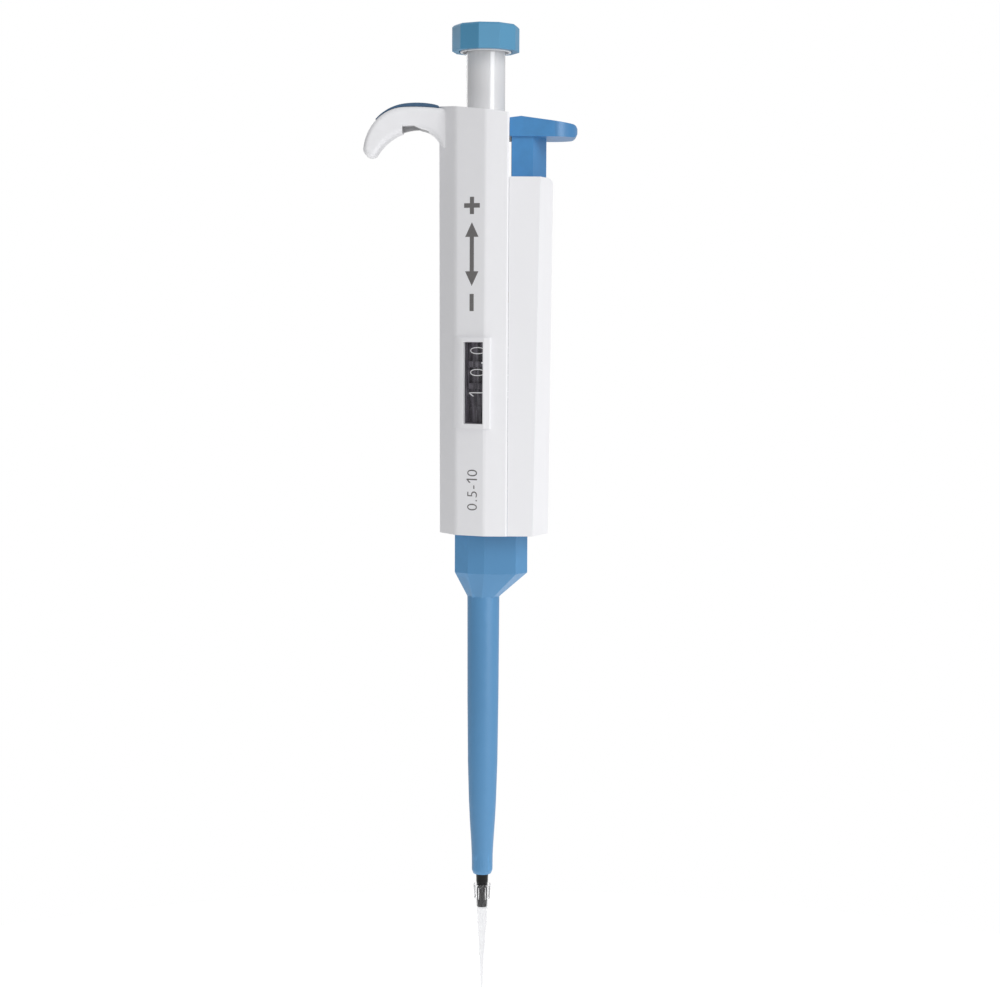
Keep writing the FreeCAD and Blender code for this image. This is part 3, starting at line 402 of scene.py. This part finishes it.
def font_shape(figure, thinner):
    """Flat bmesh of one of the built-in font's figures, at its own size."""
    curve = bpy.data.curves.new("figure", "FONT")
    curve.body = figure
    curve.size = 1.0
    curve.offset = -thinner
    curve.resolution_u = 6
    carrier = bpy.data.objects.new("figure", curve)
    bpy.context.collection.objects.link(carrier)
    bpy.context.view_layer.update()
    mesh = bpy.data.meshes.new_from_object(carrier)
    bpy.data.objects.remove(carrier)
    shape = bmesh.new()
    shape.from_mesh(mesh)
    bmesh.ops.remove_doubles(shape, verts=shape.verts, dist=1e-5)
    return shape


def polygon(shape, corners):
    shape.faces.new([shape.verts.new((x, y, 0)) for x, y in corners])


def rectangle(shape, x0, x1, y0, y1):
    polygon(shape, [(x0, y0), (x1, y0), (x1, y1), (x0, y1)])


def flagged_one(height, stroke):
    """A figure one with its flag, standing on the line."""
    shape = bmesh.new()
    stem, flag_end = 0.24 * height, 0.76 * height
    rectangle(shape, stem, stem + stroke, 0, height)
    polygon(shape, [(stem, height), (0.0, flag_end), (0.0, flag_end - 1.3 * stroke),
                    (stem, height - 1.5 * stroke)])
    return shape


def add_to(whole, shape):
    """Move a shape's faces into a larger one."""
    mesh = bpy.data.meshes.new("figure")
    shape.to_mesh(mesh)
    shape.free()
    whole.from_mesh(mesh)
    bpy.data.meshes.remove(mesh)


FONT_HEIGHT = 0.73           # of a figure of the built-in font
FONT_STROKE = 0.10
FIGURE_GAP = 0.22 * FONT_HEIGHT


def numerals(figures, height, thinner, stretch=1.0):
    """Flat bmesh of some figures: x along the line, y up, centred on both."""
    line = bmesh.new()
    pen = 0.0
    for figure in figures:
        if figure == "1":
            shape = flagged_one(FONT_HEIGHT, FONT_STROKE - 2 * thinner)
        else:
            shape = font_shape(figure, thinner)
        left = min(v.co.x for v in shape.verts)
        for v in shape.verts:
            v.co.x = pen + (v.co.x - left) * stretch
        pen = max(v.co.x for v in shape.verts) + FIGURE_GAP
        add_to(line, shape)
    scale = height / FONT_HEIGHT
    width = pen - FIGURE_GAP
    for v in line.verts:
        v.co = Vector(((v.co.x - width / 2) * scale,
                       (v.co.y - FONT_HEIGHT / 2) * scale, 0))
    return line


def slice_up(shape, axis, step):
    """Cut the faces into strips, so that the shape can be bent."""
    values = [v.co[axis] for v in shape.verts]
    level = math.ceil(min(values) / step) * step
    normal = Vector((0, 0, 0))
    normal[axis] = 1
    while level < max(values):
        point = Vector((0, 0, 0))
        point[axis] = level
        bmesh.ops.bisect_plane(shape, geom=shape.verts[:] + shape.edges[:] + shape.faces[:],
                               plane_co=point, plane_no=normal, dist=1e-8)
        level += step


def finish_piece(name, shape, material, body):
    mesh = bpy.data.meshes.new(name)
    bmesh.ops.recalc_face_normals(shape, faces=shape.faces)
    shape.to_mesh(mesh)
    shape.free()
    mesh.materials.append(material)
    piece = bpy.data.objects.new(name, mesh)
    bpy.context.collection.objects.link(piece)
    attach(piece, body)


INK_LIFT = 0.02 * MM
DRUM_FIGURE_HEIGHT = 4.9 * MM
WINDOW_ANGLE = math.radians(-13.7)      # where a number faces in the window, from -Y to +X
# Drum, the body that it turns with, and the number that it shows
DRUMS = [("drum_tenths", "spindle", 0), ("drum_units", "units_drum", 0),
         ("drum_tens", "tens_drum", 1)]


def drum_numbers(name, body, shown):
    """The numbers of one drum, wrapped round it. They read upwards, tops towards -X."""
    low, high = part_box(name)
    radius = (high.x - low.x) / 2 + INK_LIFT
    middle = (low.z + high.z) / 2
    pitch = 2 * math.pi / 10
    numbers = bmesh.new()
    for number in range(10):
        shape = numerals(str(number), DRUM_FIGURE_HEIGHT, thinner=0.024, stretch=0.74)
        slice_up(shape, 1, 0.3 * MM)
        turn = WINDOW_ANGLE - (number - shown) * pitch
        for v in shape.verts:
            angle = turn - v.co.y / radius
            v.co = Vector((radius * math.sin(angle), -radius * math.cos(angle),
                           middle + v.co.x))
        add_to(numbers, shape)
    finish_piece(name + "_numbers", numbers, materials["glowing_white_ink"], body)


FACE_TURN = math.radians(-24.03)      # the slanted face with the window
FACE_ACROSS = Vector((math.cos(FACE_TURN), math.sin(FACE_TURN), 0))
FACE_INWARD = Vector((-math.sin(FACE_TURN), math.cos(FACE_TURN), 0))
FACE_DEPTH = -11.69 * MM              # the face's place along FACE_INWARD
BAR_DEPTH = -9.59 * MM                # the mask's bars, behind the lens

# Places of the marks' middles: across the slanted face, and up
DIAL_MARK_PLACE = (1.4 * MM, 211.2 * MM)
RANGE_MARK_PLACE = (1.65 * MM, 146.1 * MM)
RANGE_FIGURE_HEIGHT = 3.2 * MM
POINT_PLACE = (3.65 * MM, 181.35 * MM)
POINT_RADIUS = 0.24 * MM


def print_on_face(shape, place):
    """Turn flat marks to read upwards, and drop them on the handle's slanted face."""
    mesh = frame["nodes"]["handle_shell"].data
    handle = BVHTree.FromPolygons([v.co for v in mesh.vertices],
                                  [p.vertices for p in mesh.polygons])
    across, up = place
    outside = FACE_INWARD * (FACE_DEPTH - 32 * MM)
    for v in shape.verts:
        start = (FACE_ACROSS * (across - v.co.y) + outside
                 + Vector((0, 0, up + v.co.x)))
        v.co = handle.ray_cast(start, FACE_INWARD)[0] - FACE_INWARD * INK_LIFT


def dial_mark():
    """Double arrow between a minus and a plus: which way to turn for more or less."""
    half_length = 15.6 * MM
    arm, stroke = 2.35 * MM, 0.62 * MM        # half the length and width of a sign's stroke
    gap = 2.2 * MM                            # between a sign and the arrow
    head_length, head_half = 4 * MM, 2.0 * MM
    plus = half_length - arm
    arrow_end = half_length - 2 * arm - gap
    head_start = arrow_end - head_length
    shape = bmesh.new()
    for centre in (-plus, plus):
        rectangle(shape, centre - arm, centre + arm, -stroke, stroke)
    for side in (-1, 1):
        rectangle(shape, plus - stroke, plus + stroke, side * stroke, side * arm)
    rectangle(shape, -head_start, head_start, -stroke, stroke)
    for side in (-1, 1):
        polygon(shape, [(side * arrow_end, 0), (side * head_start, head_half),
                        (side * head_start, -head_half)])
    slice_up(shape, 0, 2 * MM)
    slice_up(shape, 1, 0.8 * MM)
    print_on_face(shape, DIAL_MARK_PLACE)
    finish_piece("dial_mark", shape, materials["grey_ink"], "handle")


def decimal_point():
    """Dot on the mask's upper bar, between the units and the tenths."""
    shape = bmesh.new()
    bmesh.ops.create_circle(shape, cap_ends=True, radius=POINT_RADIUS, segments=16)
    across, up = POINT_PLACE
    centre = (FACE_ACROSS * across + FACE_INWARD * (BAR_DEPTH - INK_LIFT)
              + Vector((0, 0, up)))
    for v in shape.verts:
        v.co = centre + FACE_ACROSS * v.co.x + Vector((0, 0, v.co.y))
    finish_piece("decimal_point", shape, materials["glowing_white_ink"], "handle")


def range_mark():
    """The volume range in plain numerals."""
    shape = numerals("0.5-10", RANGE_FIGURE_HEIGHT, thinner=0.01)
    slice_up(shape, 0, 2 * MM)
    print_on_face(shape, RANGE_MARK_PLACE)
    finish_piece("range_mark", shape, materials["grey_ink"], "handle")


# ---------------------------------------------------------------------------------------
# Springs
# ---------------------------------------------------------------------------------------

# Spring, the joint that shortens it, and by how much
SPRINGS = [("return_spring", "plunger_press", 15.2 * MM),
           ("blowout_spring", "blowout_press", 2.5 * MM),
           ("ejector_spring", "ejector_press", 10.0 * MM)]


def springs():
    """Coil springs that stand on their seats in the handle."""
    for name, joint, travel in SPRINGS:
        coil = bpy.data.objects.new(name + "_coil", frame["nodes"][name].data.copy())
        bpy.context.collection.objects.link(coil)
        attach(coil, "handle")
        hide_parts(name)
        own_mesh(coil)


# ---------------------------------------------------------------------------------------
# Stage, light and camera
# ---------------------------------------------------------------------------------------


CAMERA_PLACE = (0.0046, -0.554, 0.1937)
CAMERA_LENS = 70.56
CAMERA_PITCH = 5.3           # degrees down
CAMERA_ROLL = 0.3

FLOOR_RADIUS = 0.5
FLOOR_BELOW_TIP = 0.12

BRIGHT_SIDE = Vector((0.8, -0.6, 0.4))       # where the surroundings are brightest
DARKEST, BRIGHTEST = 0.11, 0.81
LEAST_MIRRORED = 0.6

# Name, place, aim, size, power, and whether it also lights dull surfaces
LIGHTS = [("key", (0.55, -0.62, 0.85), (0, 0, 0.18), (0.5, 0.5), 3.1, True),
          ("strip", (0.60, -0.72, 0.36), (0, 0, 0.25), (0.42, 0.8), 4.2, False),
          ("side", (0.85, -0.42, 0.26), (0, 0, 0.2), (0.5, 0.8), 0.7, True),
          ("fill", (-0.5, 0.8, 0.5), (0, 0, 0.16), (0.6, 0.6), 1.2, True)]


def camera():
    data = bpy.data.cameras.new("camera")
    data.lens = CAMERA_LENS
    data.clip_start = 0.01
    eye = bpy.data.objects.new("camera", data)
    bpy.context.collection.objects.link(eye)
    tilt = Matrix.Rotation(math.radians(90 - CAMERA_PITCH), 4, "X")
    roll = Matrix.Rotation(math.radians(CAMERA_ROLL), 4, "Z")
    eye.matrix_world = Matrix.Translation(CAMERA_PLACE) @ tilt @ roll
    bpy.context.scene.camera = eye


def area_light(name, place, aim, size, power, diffuse):
    data = bpy.data.lights.new(name, "AREA")
    data.shape = "RECTANGLE"
    data.size, data.size_y = size
    data.energy = power
    lamp = bpy.data.objects.new(name, data)
    bpy.context.collection.objects.link(lamp)
    lamp.location = place
    lamp.rotation_mode = "QUATERNION"
    lamp.rotation_quaternion = (Vector(aim) - Vector(place)).to_track_quat("-Z", "Y")
    lamp.visible_diffuse = diffuse


def world():
    """Soft white surroundings, brighter towards one side; brighter still where mirrored,
    and plain white where seen."""
    surroundings = bpy.data.worlds.new("studio")
    bpy.context.scene.world = surroundings
    surroundings.use_nodes = True
    background = surroundings.node_tree.nodes["Background"]
    background.inputs["Color"].default_value = (1, 1, 1, 1)
    towards = node(surroundings, "ShaderNodeVectorMath")
    towards.operation = "DOT_PRODUCT"
    towards.inputs[1].default_value = BRIGHT_SIDE.normalized()
    link(surroundings, node(surroundings, "ShaderNodeTexCoord").outputs["Generated"],
         towards.inputs[0])
    level = node(surroundings, "ShaderNodeMapRange", From_Min=-1, To_Min=DARKEST,
                 To_Max=BRIGHTEST)
    link(surroundings, towards.outputs["Value"], level.inputs["Value"])
    rays = node(surroundings, "ShaderNodeLightPath").outputs
    mirrored = calculated(surroundings, "MULTIPLY", rays["Is Glossy Ray"], LEAST_MIRRORED)
    lit = calculated(surroundings, "MAXIMUM", level.outputs["Result"], mirrored)
    seen = calculated(surroundings, "MAXIMUM", rays["Is Camera Ray"],
                      rays["Is Transmission Ray"])
    strength = node(surroundings, "ShaderNodeMix", B=1.0)
    link(surroundings, seen, strength.inputs["Factor"])
    link(surroundings, lit, strength.inputs["A"])
    link(surroundings, strength.outputs["Result"], background.inputs["Strength"])


def floor():
    shape = bmesh.new()
    bmesh.ops.create_circle(shape, cap_ends=True, radius=FLOOR_RADIUS, segments=96)
    mesh = bpy.data.meshes.new("floor")
    shape.to_mesh(mesh)
    shape.free()
    plane = bpy.data.objects.new("floor", mesh)
    bpy.context.collection.objects.link(plane)
    plane.location.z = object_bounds()[0].z - FLOOR_BELOW_TIP
    material, shader = new_material("floor_paper", Roughness=0.9, Specular_IOR_Level=0.1,
                                    Emission_Color=(1, 1, 1, 1), Emission_Strength=0.55)
    link(material, ramp(material, noise(material, place_in(material), 0.02), [
        (0.3, (0.93, 0.93, 0.93, 1)), (0.7, (0.95, 0.95, 0.95, 1))]),
        shader.inputs["Base Color"])
    mesh.materials.append(material)
    plane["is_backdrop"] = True


def studio():
    bpy.context.scene.view_settings.view_transform = "Standard"
    world()
    floor()
    for light in LIGHTS:
        area_light(*light)


# ---------------------------------------------------------------------------------------
# Making
# ---------------------------------------------------------------------------------------

camera()
dress_nodes()
soften_edges()
for drum in DRUMS:
    drum_numbers(*drum)
decimal_point()
dial_mark()
range_mark()
springs()
studio()
